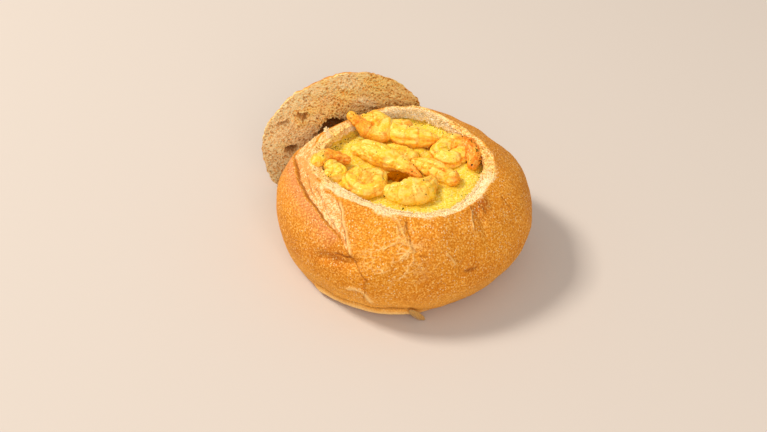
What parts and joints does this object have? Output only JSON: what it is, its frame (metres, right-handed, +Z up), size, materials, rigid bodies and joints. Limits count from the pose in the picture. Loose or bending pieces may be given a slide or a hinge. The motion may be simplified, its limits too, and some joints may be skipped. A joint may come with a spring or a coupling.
{
  "type": "shrimp curry in a bread bowl",
  "caption": "Thick shrimp curry in a hollowed round loaf, with curled shrimps on top and the loaf's cut-off top leaning on its back.",
  "frame": {"origin": "the middle of the loaf's flat base, on the surface it stands on", "axes": "+Z up; +X to the right and -Y towards the front of the loaf, with the leaning lid at the back left"},
  "size_m": [0.1638, 0.1708, 0.084],
  "materials": {
    "crust": "baked bread crust, matte",
    "crumb": "open bread crumb, matte",
    "curry_sauce": "thick sauce, satin gloss",
    "shrimp_flesh": "cooked shrimp, wet gloss",
    "onion": "cooked onion, satin gloss"
  },
  "bodies": {
    "root": {"bread_bowl": "crust", "bread_lid": "crumb", "curry": "curry_sauce", "shrimp_01": "shrimp_flesh", "shrimp_02": "shrimp_flesh", "shrimp_03": "shrimp_flesh", "shrimp_04": "shrimp_flesh", "shrimp_05": "shrimp_flesh", "shrimp_06": "shrimp_flesh", "shrimp_07": "shrimp_flesh", "shrimp_08": "shrimp_flesh", "shrimp_09": "shrimp_flesh", "shrimp_10": "shrimp_flesh", "shrimp_11": "shrimp_flesh", "onion_scrap": "onion"}
  },
  "joints": []
}
